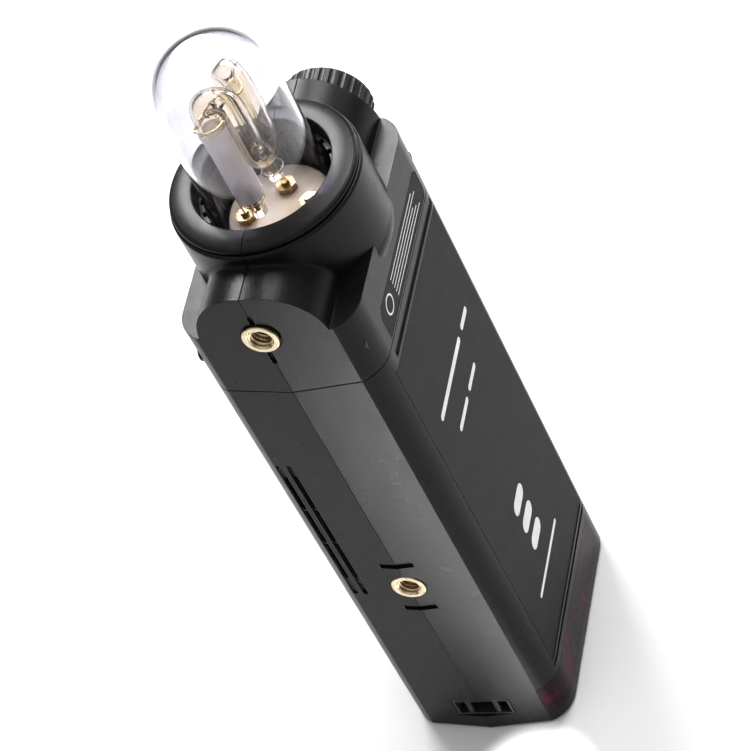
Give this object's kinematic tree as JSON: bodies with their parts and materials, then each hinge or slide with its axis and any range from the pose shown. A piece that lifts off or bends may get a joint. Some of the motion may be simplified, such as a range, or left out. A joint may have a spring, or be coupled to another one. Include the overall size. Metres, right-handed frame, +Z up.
{
  "type": "monolight strobe",
  "caption": "Pocket battery strobe with a control panel on its end, side tripod threads and a clip-on bare-bulb head with a plug-in flash tube under glass.",
  "frame": {"origin": "centre of the control end's rim, which the unit stands on", "axes": "+Z up the body to the bulb, +X towards the clamp knob (width), -Y out of the smooth front face, +Y out of the battery face"},
  "size_m": [0.0862, 0.0532, 0.2563],
  "materials": {
    "textured_case": "fine spark-eroded texture",
    "battery_shell": "fine spark-eroded texture",
    "smooth_panel": "smooth satin",
    "red_window": "dark translucent red, polished",
    "strap_black": "moulded",
    "panel_black": "satin",
    "screen_lens": "clear acrylic",
    "screen_glass": "grey-green display",
    "dial_black": "ribbed",
    "key_grey": "moulded",
    "test_key": "translucent red key",
    "circuit_board": "solder mask",
    "switch_metal": "stamped",
    "inner_black": "moulded",
    "port_steel": "plated",
    "cover_rubber": "soft matte",
    "cell_wrap": "shrink sleeve",
    "gilt_contact": "gilt",
    "capacitor_sleeve": "shrink sleeve",
    "ferrite": "sintered",
    "insert_brass": "turned",
    "screw_black": "blackened",
    "screw_steel": "turned",
    "terminal_brass": "turned, heat-toned",
    "coil_wrap": "taped winding",
    "knob_black": "ribbed, moulded",
    "cream_ceramic": "fired, satin",
    "pin_metal": "plated",
    "dome_glass": "clear borosilicate",
    "quartz": "clear quartz",
    "electrode_metal": "sintered",
    "trigger_nickel": "fine drawn wire",
    "spring_steel": "drawn wire"
  },
  "bodies": {
    "flash_body": {"body_front_shell": "textured_case", "body_back_shell": "textured_case", "front_panel": "smooth_panel", "sensor_window": "red_window", "strap_anchor": "strap_black", "control_panel": "panel_black", "lcd_lens": "screen_lens", "lcd_module": "screen_glass", "control_board": "circuit_board", "main_board": "circuit_board", "tact_switches": "switch_metal", "rotary_encoder": "switch_metal", "switch_housing": "inner_black", "usb_port": "port_steel", "sync_jack": "port_steel", "bay_contacts": "gilt_contact", "flash_capacitors": "capacitor_sleeve", "charge_transformer": "ferrite", "head_socket": "inner_black", "body_contacts": "gilt_contact", "body_insert": "insert_brass", "body_screws": "screw_black", "latch_spring": "spring_steel", "release_spring": "spring_steel"},
    "dial": {"select_dial": "dial_black"},
    "set_key": {"set_button": "key_grey"},
    "mode_key": {"mode_button": "key_grey"},
    "group_key": {"group_button": "key_grey"},
    "menu_key": {"menu_button": "key_grey"},
    "sync_key": {"sync_button": "key_grey"},
    "test_key": {"test_button": "test_key"},
    "switch_cap": {"power_switch": "key_grey"},
    "cover_flap": {"port_cover": "cover_rubber"},
    "battery_pack": {"battery_case": "battery_shell", "battery_cells": "cell_wrap", "battery_terminals": "gilt_contact"},
    "latch": {"battery_latch": "key_grey"},
    "release": {"head_release": "key_grey"},
    "head_unit": {"head_front_shell": "textured_case", "head_back_shell": "textured_case", "label_plate": "smooth_panel", "head_insert": "insert_brass", "head_screws": "screw_black", "head_plug": "inner_black", "plug_pads": "gilt_contact", "bulb_socket": "inner_black", "socket_contacts": "terminal_brass", "glass_baffle": "inner_black", "trigger_coil": "coil_wrap", "knob_nut": "terminal_brass"},
    "pad": {"clamp_pad": "terminal_brass"},
    "knob": {"lock_knob": "knob_black", "clamp_screw": "screw_steel"},
    "bulb": {"bulb_base": "cream_ceramic", "bulb_pins": "pin_metal", "base_standoffs": "terminal_brass", "glass_dome": "dome_glass", "flash_tube": "quartz", "tube_electrodes": "electrode_metal", "trigger_wire": "trigger_nickel"}
  },
  "joints": [
    {"name": "dial_turn", "type": "hinge", "parent": "flash_body", "child": "dial", "pos_m": [0.019, -0.003, 0.003], "axis": [0, 0, 1], "continuous": true},
    {"name": "set_press", "type": "slide", "parent": "flash_body", "child": "set_key", "axis": [0, 0, 1], "range_m": [0, 0.0008], "stiffness_N_per_m": 600, "springref_m": -0.0005},
    {"name": "mode_press", "type": "slide", "parent": "flash_body", "child": "mode_key", "axis": [0, 0, 1], "range_m": [0, 0.0008], "stiffness_N_per_m": 600, "springref_m": -0.0005},
    {"name": "group_press", "type": "slide", "parent": "flash_body", "child": "group_key", "axis": [0, 0, 1], "range_m": [0, 0.0008], "stiffness_N_per_m": 600, "springref_m": -0.0005},
    {"name": "menu_press", "type": "slide", "parent": "flash_body", "child": "menu_key", "axis": [0, 0, 1], "range_m": [0, 0.0008], "stiffness_N_per_m": 600, "springref_m": -0.0005},
    {"name": "sync_press", "type": "slide", "parent": "flash_body", "child": "sync_key", "axis": [0, 0, 1], "range_m": [0, 0.0008], "stiffness_N_per_m": 600, "springref_m": -0.0005},
    {"name": "test_press", "type": "slide", "parent": "flash_body", "child": "test_key", "axis": [0, 0, 1], "range_m": [0, 0.0008], "stiffness_N_per_m": 600, "springref_m": -0.0005},
    {"name": "power_slide", "type": "slide", "parent": "flash_body", "child": "switch_cap", "axis": [0, 0, 1], "range_m": [0, 0.005]},
    {"name": "cover_open", "type": "hinge", "parent": "flash_body", "child": "cover_flap", "pos_m": [0.03725, -0.01, 0.0506], "axis": [0, 1, 0], "range_deg": [0, 110]},
    {"name": "battery_out", "type": "slide", "parent": "flash_body", "child": "battery_pack", "axis": [0, 1, 0], "range_m": [0, 0.022]},
    {"name": "latch_slide", "type": "slide", "parent": "flash_body", "child": "latch", "axis": [0, 0, 1], "range_m": [0, 0.0034], "stiffness_N_per_m": 500, "springref_m": -0.001},
    {"name": "release_press", "type": "slide", "parent": "flash_body", "child": "release", "axis": [-1, 0, 0], "range_m": [0, 0.0017], "stiffness_N_per_m": 800, "springref_m": -0.001},
    {"name": "head_off", "type": "slide", "parent": "flash_body", "child": "head_unit", "axis": [0, 0, 1], "range_m": [0, 0.012]},
    {"name": "pad_travel", "type": "slide", "parent": "head_unit", "child": "pad", "axis": [1, 0, 0], "range_m": [0, 0.0012]},
    {"name": "knob_turn", "type": "hinge", "parent": "pad", "child": "knob", "pos_m": [0.043, 0, 0.1873], "axis": [1, 0, 0], "range_deg": [0, 540]},
    {"name": "bulb_out", "type": "slide", "parent": "head_unit", "child": "bulb", "axis": [0, 0, 1], "range_m": [0, 0.014]}
  ],
  "couplings": [
    {"joint": "knob_turn", "follows": "pad_travel", "rad_per_m": 7854}
  ]
}
